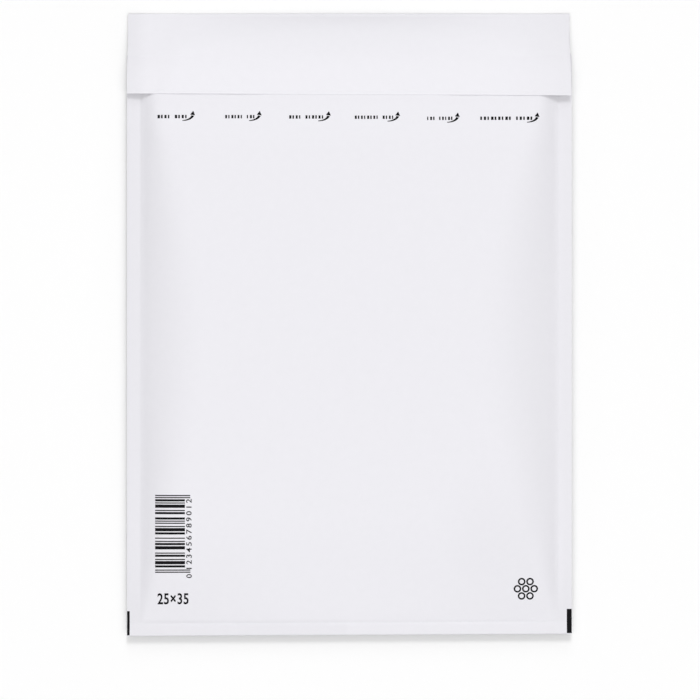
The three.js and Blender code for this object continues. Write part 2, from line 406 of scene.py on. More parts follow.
def wall_bubbles(side):
    """All the bubbles of one wall, each pressed down to the room that it has."""
    dome, dome_faces = bubble_dome()
    points, faces = [], []
    for x, y in bubble_places():
        first = len(points) * len(dome)
        across = x + dome[:, 0] * BUBBLE_RADIUS
        along = y + dome[:, 1] * BUBBLE_RADIUS
        room = wall_room(across, along, side) - FILM - BUBBLE_CLEARANCE
        rise = FILM / 2 + dome[:, 2] * room
        up = pocket_face(across, along, side) + side * rise
        points.append(np.column_stack([across, along, up]))
        for face in dome_faces:
            corners = [first + corner for corner in face]
            faces.append(corners if side > 0 else corners[::-1])
    mesh = bpy.data.meshes.new("bubbles")
    mesh.from_pydata(np.concatenate(points).tolist(), [], faces)
    bubbles = bpy.data.objects.new("bubbles", mesh)
    scene.collection.objects.link(bubbles)
    return bubbles


def polyethylene_film():
    """Clear low-density polyethylene, blown and a little milky. It has a soft gloss, is
    faintly rippled over about 6 mm from the forming drum, and lets most light through."""
    film = new_material("polyethylene_bubble_film")
    ripples = noise_over(film, 6 * MM, detail=2.0)
    milky = tone_between(film, "#eef2f5", "#e2e8ec", ripples)
    relief = light_bump(film, ripples, strength=0.4, depth=0.1 * MM)
    return finish_material(film, add_node(
        film, "ShaderNodeBsdfPrincipled",
        {"Roughness": 0.22, "IOR": 1.51, "Alpha": 0.55},
        {"Base Color": milky, "Normal": relief},
    ))


lining = join_pieces([film_wall(1), film_wall(-1), wall_bubbles(1), wall_bubbles(-1)],
                     "bubble_film_lining")
bpy.ops.object.shade_smooth_by_angle(angle=FILM_SMOOTH_ANGLE)
lining.data.materials.clear()
lining.data.materials.append(polyethylene_film())
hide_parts("bubble_lining")
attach(lining, "root")


# Paper sleeve: one sheet of white kraft paper, about 85 grams a square metre, that is the
# flap, the back and the front in turn. It is folded at the bottom and at the flap, and
# welded to the lining along both sides.
FLAP_LENGTH = 45.7 * MM
CREASE_RADIUS_AT_SIDES = 0.35 * MM
CREASE_RADIUS_IN_MIDDLE = 1.0 * MM
RAMP_ROUNDNESS_AT_SIDES = 0.8
RAMP_ROUNDNESS_IN_MIDDLE = 3.2
FLAP_DROOP_LEFT = 2.9 * MM
FLAP_DROOP_RIGHT = 2.1 * MM
FLAP_DROOP_AT_MOUTH = 5.3 * MM
FLAP_DROOP_WIDTH = 28 * MM
FLAP_DROOP_ROUNDNESS = 1.1
FLAP_CLEARANCE = 0.35 * MM
FLAP_EDGE_CLEARANCE = 0.1 * MM
FLAP_EDGE_REACH = 2 * MM
SHOULDER_LENGTH = 3.4 * MM
FLAP_INSET_LEFT = 0.5 * MM
FLAP_INSET_RIGHT = 1.2 * MM
FLAP_EDGE_INSET_RIGHT = 0.5 * MM
FLAP_NARROWING_REACH = 12 * MM
FLAP_EDGE_SKEW = 1.1 * MM
BOTTOM_EDGE_SKEW = 1.2 * MM
FLAP_EDGE_LIFT = 0.28 * MM
FLAP_EDGE_LIFT_DEPTH = 14 * MM
# Where along the free edge it stands up, and how far to each side.
FLAP_LIFT_PLACES = (
    (-92 * MM, 12 * MM), (-64 * MM, 16 * MM), (67 * MM, 9 * MM), (96 * MM, 16 * MM),
)
HEM_CREASE_DEPTH = 0.16 * MM
HEM_CREASE_WIDTH = 0.9 * MM
HEM_CREASE_REACH = 3 * HEM_CREASE_WIDTH
HEM_CREASE_FADE_END = 3 * SEAM_WIDTH
PUCKER_HEIGHT = 0.10 * MM
PUCKER_PITCH = 21 * MM
PUCKER_REACH = 10 * MM
PUCKER_START = 2.5 * MM
PUCKER_SWAY = 1.7
PUCKER_SWAY_PACE = 33 * MM
COCKLE_HEIGHT = 0.16 * MM
ACROSS_PACE = 19 * MM
ACROSS_SWAY = 1.3
ACROSS_SWAY_PACE = 47 * MM
ALONG_PACE = 31 * MM
ALONG_SWAY = 0.9
ALONG_SWAY_PACE = 38 * MM
ALONG_SWAY_START = 2.0
SLANT_PACE = 26 * MM
SLANT_START = 4.1
SLANT_SHARE = 0.6
TELEGRAPH_HEIGHT = 0.012 * MM
SHOULDER_RISE = 2.1 * MM
SHOULDER_REACH = 10 * MM
BOTTOM_SHOULDER_RISE = 0.6 * MM
BOTTOM_SHOULDER_REACH = 6 * MM
BOTTOM_SHOULDER_SIDE_RATE = 3
SHOULDER_END_Y = 128 * MM
SHOULDER_FADE = 28 * MM
# Tones of painted light and shade, which scale the paper's colour; what each one paints is said
# beside it.
FLAP_TONE = 0.92
# Painted highlight along the flap's free edge, where its cut edge catches the light.
FLAP_LIP_HIGHLIGHT = 0.9
# Painted shade on the flap towards its crease, from the given place on; deeper at the sharp sides
# than in the round middle.
CREASE_TONE_AT_SIDES = 0.42
CREASE_TONE_IN_MIDDLE = 0.1
CREASE_TONE_START_Y = 140 * MM
# Painted shade along the flap's sides, where it slopes down over the seams; wider on the right.
FLAP_SIDE_TONE_LEFT = 0.8
FLAP_SIDE_TONE_RIGHT = 0.6
FLAP_SIDE_REACH_LEFT = 14 * MM
FLAP_SIDE_REACH_RIGHT = 42 * MM
# The front panel's plain tone. The flap's tone is set higher, so the flap is painted a little
# lighter than the front, as painted light.
BODY_TONE = 0.55
# Painted shade on the flat side seams beside the raised padding, deeper on the left.
SEAM_TONE_LEFT = -0.3
SEAM_TONE_RIGHT = -0.05
# Painted shade on the slopes beside the seams, with its own strength on each side and less of it
# towards the ends.
SLOPE_TONE_LEFT = 0.4
SLOPE_TONE_RIGHT = 0.75
SLOPE_TONE_KEPT_LEFT = -0.3
SLOPE_TONE_KEPT_RIGHT = 0.6
SLOPE_TONE_FADE = (0.45, 0.85)
SLOPE_TONE_PEAK = 2.26
SLOPE_TONE_FALL = 0.7
SEAM_TONE_END = 0.1
# Painted shade on the bottom slope's corners, and painted light in its middle.
BOTTOM_TONE_PEAK = 2.6
BOTTOM_CORNER_TONE = 0.25
BOTTOM_MIDDLE_TONE = 0.3
# Painted shade in a broad patch low on the right of the front.
LOW_RIGHT_TONE = 0.3
LOW_RIGHT_START_X = (45 * MM, 75 * MM)
LOW_RIGHT_END_X = (98 * MM, 112 * MM)
LOW_RIGHT_Y = -115 * MM
LOW_RIGHT_REACH = 25 * MM
# How much the paper's colour is scaled at painted-shading tone 0 and at tone 1.
SHADE_AT_TONE_0 = 0.955
SHADE_AT_TONE_1 = 1.025
SEAM_COLUMNS = 6
SLOPE_COLUMNS = 18
MIDDLE_COLUMNS = 26
HALF_COLUMNS = SEAM_COLUMNS + SLOPE_COLUMNS + MIDDLE_COLUMNS
ROW_TOLERANCE = 1e-6
SHEET_SMOOTH_ANGLE = math.radians(50)


def front_top(x, y):
    return lining_top(x, y) + LAYER_GAP + PAPER


def cockle(x, y):
    """Shallow long waves of paper that has been laid on soft film."""
    across = np.sin(x / ACROSS_PACE + ACROSS_SWAY * np.sin(y / ACROSS_SWAY_PACE))
    sway = ALONG_SWAY * np.sin(x / ALONG_SWAY_PACE + ALONG_SWAY_START)
    along = np.sin(y / ALONG_PACE + sway)
    slant = np.sin((x + y) / SLANT_PACE + SLANT_START) * SLANT_SHARE
    return COCKLE_HEIGHT * (across + along + slant) / (2 + SLANT_SHARE)


def telegraph(x, y):
    """The bubbles behind the paper show as very low domes in rows."""
    wave = 2 * math.pi / BUBBLE_PITCH
    across = np.cos(wave * x)
    slant = np.cos(wave * (x / 2 + y * math.sqrt(3) / 2))
    other_slant = np.cos(wave * (x / 2 - y * math.sqrt(3) / 2))
    return TELEGRAPH_HEIGHT * (across + slant + other_slant)


def puckers(x, y):
    """Small gathers where the padding pulls the paper in beside the welded seams."""
    inward = np.clip(SEAM_X - np.abs(x), 0, None)
    sway = PUCKER_SWAY * np.sin(y / PUCKER_SWAY_PACE)
    along = np.sin(2 * math.pi * y / PUCKER_PITCH + sway + np.sign(x))
    rise = np.clip(inward / PUCKER_START, 0, 1)
    return PUCKER_HEIGHT * along * rise * np.exp(-inward / PUCKER_REACH)


def hem_crease(x, y):
    """The line that the bottom of the lining leaves across the front."""
    from_line = (y - LINING_END_Y) / HEM_CREASE_WIDTH
    fade = smooth_step(HALF_WIDTH - np.abs(x), SEAM_WIDTH, HEM_CREASE_FADE_END)
    return -HEM_CREASE_DEPTH * np.exp(-from_line ** 2) * fade


def padding_shoulder(x, y):
    """The padding's edge is rounder than the plain slope, so the paper starts off steeply."""
    inward = np.clip(SEAM_X - np.abs(x), 0, None) / SHOULDER_REACH
    upward = climb(y - LINING_END_Y, BOTTOM_SLOPE)
    below_flap = smooth_step(SHOULDER_END_Y - y, 0, SHOULDER_FADE)
    from_hem = np.clip(y - LINING_END_Y, 0, None) / BOTTOM_SHOULDER_REACH
    at_side = SHOULDER_RISE * (1 - np.exp(-inward)) * upward
    off_seam = 1 - np.exp(-BOTTOM_SHOULDER_SIDE_RATE * inward)
    at_bottom = BOTTOM_SHOULDER_RISE * (1 - np.exp(-from_hem)) * off_seam
    return (at_side + at_bottom) * below_flap


def front_relief(x, y):
    full = fullness(x, y)
    soft = (cockle(x, y) + telegraph(x, y)) * full + puckers(x, y) * (1 - full)
    return soft + padding_shoulder(x, y) + hem_crease(x, y)


def front_face(x, y):
    return front_top(x, y) + front_relief(x, y)


def flap_edge_y(x):
    return HALF_LENGTH - FLAP_LENGTH - FLAP_EDGE_SKEW * x / (2 * HALF_WIDTH)


def flap_edge_lift(x, y):
    """The flap's free edge stands up a little in a few places."""
    lift = sum(np.exp(-((x - place) / reach) ** 2) for place, reach in FLAP_LIFT_PLACES)
    from_edge = np.clip((y - flap_edge_y(x)) / FLAP_EDGE_LIFT_DEPTH, 0, 1)
    return FLAP_EDGE_LIFT * lift * (1 - from_edge) ** 2


def middle_roundness(x):
    """The flap's crease is pressed sharp at the sides and stays rounder in the middle."""
    return np.cos(0.5 * math.pi * x / HALF_WIDTH) ** 2


def crease(x):
    """Radius, place and height of the round of the flap's crease."""
    radius = lerp(CREASE_RADIUS_AT_SIDES, CREASE_RADIUS_IN_MIDDLE, middle_roundness(x))
    y = HALF_LENGTH - PAPER - radius
    return radius, y, back_underside(x, y) + PAPER + radius


def flap_droop(x, y):
    """How far the flap comes down at its sides: a little at its corners, more by the mouth."""
    at_corner = np.where(x < 0, FLAP_DROOP_LEFT, FLAP_DROOP_RIGHT)
    droop = lerp(at_corner, FLAP_DROOP_AT_MOUTH, smooth_step(y, HALF_LENGTH - FLAP_LENGTH, MOUTH_Y))
    beyond = np.clip((np.abs(x) - HALF_WIDTH + FLAP_DROOP_WIDTH) / FLAP_DROOP_WIDTH, 0, 1)
    return droop * beyond ** FLAP_DROOP_ROUNDNESS


def flap_underside(x, y):
    panel_y = np.minimum(y, MOUTH_Y)
    bridging = front_top(0 * x, panel_y) - flap_droop(x, y)
    from_edge = smooth_step(y - flap_edge_y(x), 0, FLAP_EDGE_REACH)
    clearance = lerp(FLAP_EDGE_CLEARANCE, FLAP_CLEARANCE, from_edge)
    over_panel = np.maximum(front_top(x, panel_y), bridging) + clearance
    radius, crease_y, crease_z = crease(x)
    share = np.clip((y - MOUTH_Y) / (crease_y - MOUTH_Y), 0, 1)
    bend = lerp(RAMP_ROUNDNESS_AT_SIDES, RAMP_ROUNDNESS_IN_MIDDLE, middle_roundness(x))
    resting = lerp(over_panel, crease_z + radius, share ** bend)
    return resting + cockle(x, y) * (1 - share) + flap_edge_lift(x, y)


def flap_x(x, y):
    """The flap narrows a little on the way from its free edge to its crease."""
    share = smooth_step(y, MOUTH_Y - FLAP_NARROWING_REACH, MOUTH_Y + FLAP_NARROWING_REACH)
    left_limit = FLAP_INSET_LEFT * share - HALF_WIDTH
    right_limit = HALF_WIDTH - lerp(FLAP_EDGE_INSET_RIGHT, FLAP_INSET_RIGHT, share)
    return np.clip(x, left_limit, right_limit)


def sheet_x(x, y):
    """Past the mouth the sheet is a little narrower, with a shoulder at each side."""
    inset = np.where(x < 0, FLAP_INSET_LEFT, FLAP_INSET_RIGHT)
    limit = HALF_WIDTH - inset * smooth_step(y, MOUTH_Y, MOUTH_Y + SHOULDER_LENGTH)
    return np.clip(x, -limit, limit)


def bottom_skew(x, y):
    """The bottom fold isn't quite square to the sides, and is higher on the right."""
    near_bottom = np.clip(-y / HALF_LENGTH, 0, 1)
    return BOTTOM_EDGE_SKEW * near_bottom * (x + HALF_WIDTH) / (2 * HALF_WIDTH)


def across_places(grid_x):
    """Places across the sheet, with columns close together on the slopes beside the seams."""
    columns = np.array([0, MIDDLE_COLUMNS, MIDDLE_COLUMNS + SLOPE_COLUMNS, HALF_COLUMNS])
    places = [0, SEAM_X - RIGHT_SLOPE_IN_MIDDLE, SEAM_X, HALF_WIDTH]
    return np.sign(grid_x) * np.interp(np.abs(grid_x), columns / HALF_COLUMNS, places)


def flap_stretch(x, t):
    y = lerp(flap_edge_y(x), MOUTH_Y, t)
    return flap_x(x, y), y, flap_underside(x, y) + PAPER


def ramp_stretch(x, t):
    y = lerp(MOUTH_Y, crease(x)[1], t)
    return flap_x(x, y), y, flap_underside(x, y) + PAPER


def crease_stretch(x, t):
    radius, y, z = crease(x)
    angle = math.pi * (0.5 - t)
    reach = radius + PAPER
    return sheet_x(x, y), y + reach * np.cos(angle), z + reach * np.sin(angle)


def back_ramp_stretch(x, t):
    y = lerp(crease(x)[1], MOUTH_Y, t)
    return sheet_x(x, y), y, back_underside(x, y)


def back_stretch(x, t):
    y = lerp(MOUTH_Y, LINING_END_Y, t)
    return x, y, back_underside(x, y)


def bottom_fold_place():
    radius = WELD / 2 + LAYER_GAP
    y = PAPER + radius - HALF_LENGTH
    return radius, y, back_underside(0.0, y) + PAPER + radius


def back_hem_stretch(x, t):
    y = lerp(LINING_END_Y, bottom_fold_place()[1], t)
    return x, y, back_underside(x, y)


def bottom_fold_stretch(x, t):
    radius, y, z = bottom_fold_place()
    angle = math.pi * (t - 0.5)
    reach = radius + PAPER
    return x, y - reach * np.cos(angle), z + reach * np.sin(angle) + 0 * x


def front_hem_stretch(x, t):
    y = lerp(bottom_fold_place()[1], LINING_END_Y - HEM_CREASE_REACH, t)
    return x, y, front_face(x, y)


def hem_crease_stretch(x, t):
    y = LINING_END_Y + HEM_CREASE_REACH * lerp(-1, 1, t)
    return x, y, front_face(x, y)


def front_slope_stretch(x, t):
    y = lerp(LINING_END_Y + HEM_CREASE_REACH, LINING_END_Y + BOTTOM_SLOPE, t)
    return x, y, front_face(x, y)


def front_stretch(x, t):
    y = lerp(LINING_END_Y + BOTTOM_SLOPE, MOUTH_Y, t)
    return x, y, front_face(x, y)


def make_sheet(name, stretches, columns, place_across, thickness, side):
    """A grid laid along the given stretches, one after the other, each with its count of
    rows, and then given its thickness."""
    rows = sum(count for count, _ in stretches)
    deselect_all()
    bpy.ops.mesh.primitive_grid_add(x_subdivisions=columns, y_subdivisions=rows, size=2)
    piece = bpy.context.object
    piece.name = name
    flat = point_array(piece)
    across = place_across(flat[:, 0])
    along = (flat[:, 1] + 1) / 2 * rows
    points = np.zeros_like(flat)
    start = 0
    for count, stretch in stretches:
        end = start + count
        here = (along >= start - ROW_TOLERANCE) & (along <= end + ROW_TOLERANCE)
        x, y, z = stretch(across[here], (along[here] - start) / count)
        points[here] = np.column_stack([x, y + bottom_skew(x, y), z])
        start = end
    place_points(piece, points)
    give_thickness(piece, thickness, side)
    bpy.ops.object.shade_smooth_by_angle(angle=SHEET_SMOOTH_ANGLE)
    return piece


def painted_light_and_shade(points):
    """Painted light and shade: how much lighter or darker the paper is painted at each point,
    standing in for how the light falls. The flap is painted lighter than the front, with painted
    shade towards its crease and its sides and a painted highlight along its free edge. The
    seams, the slopes beside them, the bottom slope's corners and a patch low on the right are
    painted darker as shade, and the middle of the bottom slope lighter."""
    x, y, z = points.T
    full = fullness(x, y)
    up_side = side_climb(x, y)
    up_bottom = climb(y - LINING_END_Y, BOTTOM_SLOPE)
    # Painted shade on the seams, fading out as the padding rises.
    seam_shade = np.where(x < 0, SEAM_TONE_LEFT, SEAM_TONE_RIGHT)
    # Painted shade on the slopes beside the seams, strongest part way up each slope.
    slope_shade = np.where(x < 0, SLOPE_TONE_LEFT, SLOPE_TONE_RIGHT)
    panel = lerp(seam_shade, BODY_TONE, smooth_step(full, 0, SEAM_TONE_END))
    kept = np.where(x < 0, SLOPE_TONE_KEPT_LEFT, SLOPE_TONE_KEPT_RIGHT)
    slope_shade = slope_shade * lerp(kept, 1, smooth_step(middleness(y), *SLOPE_TONE_FADE))
    panel -= slope_shade * SLOPE_TONE_PEAK * np.sqrt(up_side) * (1 - up_side) ** SLOPE_TONE_FALL
    # Painted shade at the bottom slope's corners, painted light in its middle.
    outward = (x / HALF_WIDTH) ** 2
    on_bottom_slope = BOTTOM_TONE_PEAK * np.sqrt(up_bottom) * (1 - up_bottom)
    panel -= BOTTOM_CORNER_TONE * outward * on_bottom_slope
    panel += BOTTOM_MIDDLE_TONE * (1 - outward) ** 2 * on_bottom_slope
    # Painted shade in a patch low on the right.
    low_right = smooth_step(x, *LOW_RIGHT_START_X) * (1 - smooth_step(x, *LOW_RIGHT_END_X))
    panel -= LOW_RIGHT_TONE * low_right * np.exp(-((y - LOW_RIGHT_Y) / LOW_RIGHT_REACH) ** 2)
    # Painted shade towards the flap's crease.
    crease_shade = lerp(CREASE_TONE_AT_SIDES, CREASE_TONE_IN_MIDDLE, middle_roundness(x))
    # The flap is painted lighter than the front, and darker towards its crease.
    flap = lerp(FLAP_TONE, crease_shade, smooth_step(y, CREASE_TONE_START_Y, HALF_LENGTH))
    # Painted shade along the flap's two sides.
    flap -= FLAP_SIDE_TONE_LEFT * smooth_step(-x, HALF_WIDTH - FLAP_SIDE_REACH_LEFT, HALF_WIDTH)
    flap -= FLAP_SIDE_TONE_RIGHT * smooth_step(x, HALF_WIDTH - FLAP_SIDE_REACH_RIGHT, HALF_WIDTH)
    # A painted highlight on the row of the flap's free edge.
    flap += FLAP_LIP_HIGHLIGHT * (1 - smooth_step(y, flap_edge_y(x), flap_edge_y(x) + PAPER))
    on_flap = (y > flap_edge_y(x) - LAYER_GAP) & (z > flap_underside(x, y) - LAYER_GAP)
    return np.where(on_flap, flap, panel)


def kraft_paper():
    """Bleached kraft paper: a dull, slightly cool white, with a faint cloudy look of its
    pulp and fine fibres that only show as a light bump. Pulp clouds are about 4 mm across
    and fibres are drawn 0.4 mm apart, coarser than real ones, so that they show."""
    paper = new_material("bleached_kraft_paper")
    clouds = noise_over(paper, 4 * MM, detail=4.0, roughness=0.6)
    tone = tone_between(paper, "#f0eff4", "#edecf1", clouds)
    # The paper's colour is scaled by the painted light and shade that each point of the sleeve
    # carries.
    painted_shading = add_node(paper, "ShaderNodeAttribute", attribute_name="painted_shading")
    shade = add_node(paper, "ShaderNodeMapRange",
                     {RANGE_LOW: SHADE_AT_TONE_0, RANGE_HIGH: SHADE_AT_TONE_1},
                     {0: painted_shading.outputs["Fac"]}, clamp=False)
    shaded = add_node(paper, "ShaderNodeVectorMath", operation="SCALE",
                      links={"Vector": tone, "Scale": shade.outputs[0]})
    fibres = noise_over(paper, 0.4 * MM, detail=3.0, roughness=0.65)
    relief = light_bump(paper, fibres, strength=0.25, depth=0.02 * MM)
    return finish_material(paper, add_node(
        paper, "ShaderNodeBsdfPrincipled",
        {"Roughness": 0.72, "IOR": 1.45, "Specular IOR Level": 0.3},
        {"Base Color": shaded.outputs[0], "Normal": relief},
    ))


# From the flap's free edge round the back and the bottom to the pocket's mouth.
sleeve = make_sheet("kraft_paper_sleeve", [
    (22, flap_stretch), (20, ramp_stretch), (10, crease_stretch), (12, back_ramp_stretch),
    (80, back_stretch), (5, back_hem_stretch), (8, bottom_fold_stretch),
    (5, front_hem_stretch), (12, hem_crease_stretch), (34, front_slope_stretch),
    (98, front_stretch),
], 2 * HALF_COLUMNS, across_places, PAPER, -1)
# Painted light and shade for each point of the sleeve, kept as a point attribute.
painted_shading_values = sleeve.data.attributes.new("painted_shading", "FLOAT", "POINT")
painted_shading_values.data.foreach_set("value", painted_light_and_shade(point_array(sleeve)))
sleeve.data.materials.append(kraft_paper())
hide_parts("paper_sleeve")
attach(sleeve, "root")


# Print: black flexographic ink on the front panel, laid down before the sheet was folded.
# It has opening marks with arrows along the flap, a bar field with plain digits, the size
# in centimetres, a bubble emblem and the two bars that the folding line was set by.
INK_THICKNESS = 0.05 * MM
INK_RISE = 0.02 * MM
INK_CELL = 1.5 * MM
BLOCK_HEIGHT = 1.9 * MM
BLOCK_GAP = 0.6 * MM
BLOCK_WIDTHS = (1.0, 0.7, 0.9, 0.6)
# Each mark's start, end and height in the picture, its groups of blocks, and its arrow.
OPENING_MARKS_PX = (
    (157.5, 187.5, 116.5, (4, 4), 182.4), (225.2, 255.0, 116.6, (6, 3), 249.0),
    (289.2, 324.0, 116.9, (4, 6), 318.2), (354.8, 394.0, 117.2, (8, 4), 387.5),
    (427.2, 453.0, 118.3, (3, 5), 447.2), (480.3, 533.0, 118.2, (9, 5), 527.0),
)
ARROW_REACH = 5.9 * MM
ARROW_RISE = 3.5 * MM
ARROW_STEPS = 12
ARROW_SWEEP = math.radians(78)
ARROW_SWELLING = 1.3
ARROW_TAIL_WIDTH = 0.4 * MM
ARROW_NECK_WIDTH = 1.6 * MM
ARROW_HEAD_RADIUS = 1.6 * MM
ARROW_HEAD_SWEEP = math.radians(80)
ARROW_HEAD_RISE = 1.12
ARROW_HEAD_TURN = math.radians(-8)
ARROW_DROP = 2.2 * MM
BAR_FIELD_PX = (155.0, 185.0, 495.0, 572.8)
GUARD_BAR_END_PX = 190.3
BAR_WIDTHS = (1, 1, 2, 3, 1, 2, 1, 3, 2, 1, 1, 2, 3, 1, 1, 1, 2, 2, 1, 3, 1, 2, 1, 1)
BAR_GAPS = (1, 2, 1, 1, 2, 1, 3, 1, 1, 2, 3, 1, 1, 2, 1, 1, 3, 1, 2, 1, 1, 1, 1, 0)
GUARD_BARS = (0, 1, 22, 23)
FIRST_DIGIT = "0"
FIRST_DIGIT_PX = (189.0, 576.2)
DIGITS = "123456789012"
DIGITS_PX = (189.0, 498.8, 569.0)
DIGIT_HEIGHT = 3.1 * MM
DIGIT_WIDTH = 2.2 * MM
DIGIT_SPACING = 1.35
DIGIT_BOLDNESS = 0.01
TEXT_CURVE_STEPS = 3
SIZE_CODE = "25\u00d735"
SIZE_CODE_PX = (157.2, 188.4, 593.5, 604.7)
SIZE_CODE_SPACING = 1.05
SIZE_CODE_BOLDNESS = 0.02
EMBLEM_PX = (526, 589)
EMBLEM_PITCH = 4.7 * MM
EMBLEM_OUTER = 2.15 * MM
EMBLEM_INNER = 1.25 * MM
EMBLEM_SIDES = 28
OUTER_RINGS = 6
SETTING_BARS_PX = ((126.6, 129.2, 611.8, 635.9), (567.3, 572.2, 609.5, 633.6))


def sheet_point(px, py):
    """The place on the front panel that a pixel of the picture shows."""
    x = (px - ENVELOPE_MIDDLE_PX[0]) / PIXELS_PER_METRE
    y = (ENVELOPE_MIDDLE_PX[1] - py) / PIXELS_PER_METRE
    return x, y - bottom_skew(x, y)


def flat_block(x, y, width, height):
    """A rectangle of ink from its lower left corner."""
    deselect_all()
    bpy.ops.mesh.primitive_plane_add(size=1, location=(x + width / 2, y + height / 2, 0))
    block = bpy.context.object
    block.scale = (width, height, 1)
    bpy.ops.object.transform_apply(location=True, rotation=True, scale=True)
    return block


def block_row(x, y, length, counts):
    """A short row of small plain blocks, in groups of these counts."""
    pitch = (length + BLOCK_GAP) / (sum(counts) + len(counts) - 1)
    blocks = []
    for count in counts:
        for place in range(count):
            width = (pitch - BLOCK_GAP) * BLOCK_WIDTHS[(place + count) % len(BLOCK_WIDTHS)]
            blocks.append(flat_block(x, y, width, BLOCK_HEIGHT))
            x += pitch
        x += pitch
    return blocks


def curved_arrow(x, y):
    """A stroke that swells as it sweeps up to the right, with a three-cornered head."""
    deselect_all()
    bpy.ops.mesh.primitive_grid_add(x_subdivisions=ARROW_STEPS, y_subdivisions=1, size=2)
    stroke = bpy.context.object
    flat = point_array(stroke)
    share = (flat[:, 0] + 1) / 2
    angle = share * ARROW_SWEEP
    width = lerp(ARROW_TAIL_WIDTH, ARROW_NECK_WIDTH, share ** ARROW_SWELLING)
    half_width = width / 2 * flat[:, 1]
    along = x + ARROW_REACH * np.sin(angle) - half_width * np.sin(angle)
    up = y + ARROW_RISE * (1 - np.cos(angle)) + half_width * np.cos(angle)
    place_points(stroke, np.column_stack([along, up, 0 * up]))
    top = (x + ARROW_REACH * math.sin(ARROW_HEAD_SWEEP), y + ARROW_RISE * ARROW_HEAD_RISE, 0)
    bpy.ops.mesh.primitive_circle_add(
        vertices=3, radius=ARROW_HEAD_RADIUS, fill_type="NGON", location=top,
        rotation=(0, 0, ARROW_HEAD_TURN),
    )
    head = bpy.context.object
    bpy.ops.object.transform_apply(location=True, rotation=True, scale=True)
    return [stroke, head]


def flat_text(body, middle, height, width, turn=0, spacing=1, boldness=0):
    """Plain digits as a flat mesh, sized by their height and width."""
    deselect_all()
    bpy.ops.object.text_add()
    text = bpy.context.object
    text.data.body = body
    text.data.align_x = "CENTER"
    text.data.align_y = "CENTER"
    text.data.resolution_u = TEXT_CURVE_STEPS
    text.data.space_character = spacing
    text.data.offset = boldness
    bpy.ops.object.convert(target="MESH")
    points = point_array(text)
    low, high = points.min(axis=0), points.max(axis=0)
    scale = [width / (high[0] - low[0]), height / (high[1] - low[1]), 0]
    points = (points - (low + high) / 2) * scale
    x = points[:, 0] * math.cos(turn) - points[:, 1] * math.sin(turn)
    y = points[:, 0] * math.sin(turn) + points[:, 1] * math.cos(turn)
    place_points(text, np.column_stack([middle[0] + x, middle[1] + y, 0 * x]))
    return text


def lay_on_paper(pieces, name):
    """Cut flat ink into small cells, lay them on the front panel and give them thickness."""
    ink = join_pieces(pieces, name)
    points = point_array(ink)
    bpy.ops.object.mode_set(mode="EDIT")
    for axis, normal in ((0, (1, 0, 0)), (1, (0, 1, 0))):
        first = math.floor(points[:, axis].min() / INK_CELL) + 1
        last = math.ceil(points[:, axis].max() / INK_CELL)
        for step in range(first, last):
            cut = [step * INK_CELL * part for part in normal]
            bpy.ops.mesh.select_all(action="SELECT")
            bpy.ops.mesh.bisect(plane_co=cut, plane_no=normal)
    bpy.ops.object.mode_set(mode="OBJECT")
    points = point_array(ink)
    x, y = points[:, 0], points[:, 1]
    place_points(ink, np.column_stack([x, y + bottom_skew(x, y), front_face(x, y) + INK_RISE]))
    give_thickness(ink, INK_THICKNESS, 0)
    ink.data.materials.clear()
    ink.data.materials.append(black_print)
    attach(ink, "root")
    return ink


def printing_ink():
    """Carbon black printing ink, matt, sunk into the paper. Its tone breaks up a little
    where the fibres take less of it, drawn over 0.5 mm so that it shows."""
    ink = new_material("carbon_black_printing_ink")
    take = noise_over(ink, 0.5 * MM, detail=3.0)
    return finish_material(ink, add_node(
        ink, "ShaderNodeBsdfPrincipled", {"Roughness": 0.7, "Specular IOR Level": 0.06},
        {"Base Color": tone_between(ink, "#0b0b0d", "#19181b", take)},
    ))


black_print = printing_ink()

opening_marks = []
for start_px, end_px, row_px, block_counts, arrow_px in OPENING_MARKS_PX:
    mark_x, mark_y = sheet_point(start_px, row_px)
    mark_length = sheet_point(end_px, row_px)[0] - mark_x
    opening_marks += block_row(mark_x, mark_y - BLOCK_HEIGHT / 2, mark_length, block_counts)
    arrow_x, arrow_y = sheet_point(arrow_px, row_px)
    opening_marks += curved_arrow(arrow_x, arrow_y - ARROW_DROP)
lay_on_paper(opening_marks, "opening_marks")

bar_left, bar_top = sheet_point(BAR_FIELD_PX[0], BAR_FIELD_PX[2])
bar_right, bar_low = sheet_point(BAR_FIELD_PX[1], BAR_FIELD_PX[3])
guard_right = sheet_point(GUARD_BAR_END_PX, BAR_FIELD_PX[3])[0]
bar_unit = (bar_top - bar_low) / (sum(BAR_WIDTHS) + sum(BAR_GAPS))
bars = []
bar_y = bar_low
for place, (thick, gap) in enumerate(zip(BAR_WIDTHS, BAR_GAPS)):
    bar_end = guard_right if place in GUARD_BARS else bar_right
    bars.append(flat_block(bar_left, bar_y, bar_end - bar_left, thick * bar_unit))
    bar_y += (thick + gap) * bar_unit
digits_x, digits_top = sheet_point(DIGITS_PX[0], DIGITS_PX[1])
digits_low = sheet_point(DIGITS_PX[0], DIGITS_PX[2])[1]
bars.append(flat_text(
    DIGITS, (digits_x, (digits_top + digits_low) / 2), DIGIT_HEIGHT, digits_top - digits_low,
    turn=math.pi / 2, spacing=DIGIT_SPACING, boldness=DIGIT_BOLDNESS,
))
bars.append(flat_text(
    FIRST_DIGIT, sheet_point(*FIRST_DIGIT_PX), DIGIT_HEIGHT, DIGIT_WIDTH,
    turn=math.pi / 2, boldness=DIGIT_BOLDNESS,
))
lay_on_paper(bars, "bar_field")

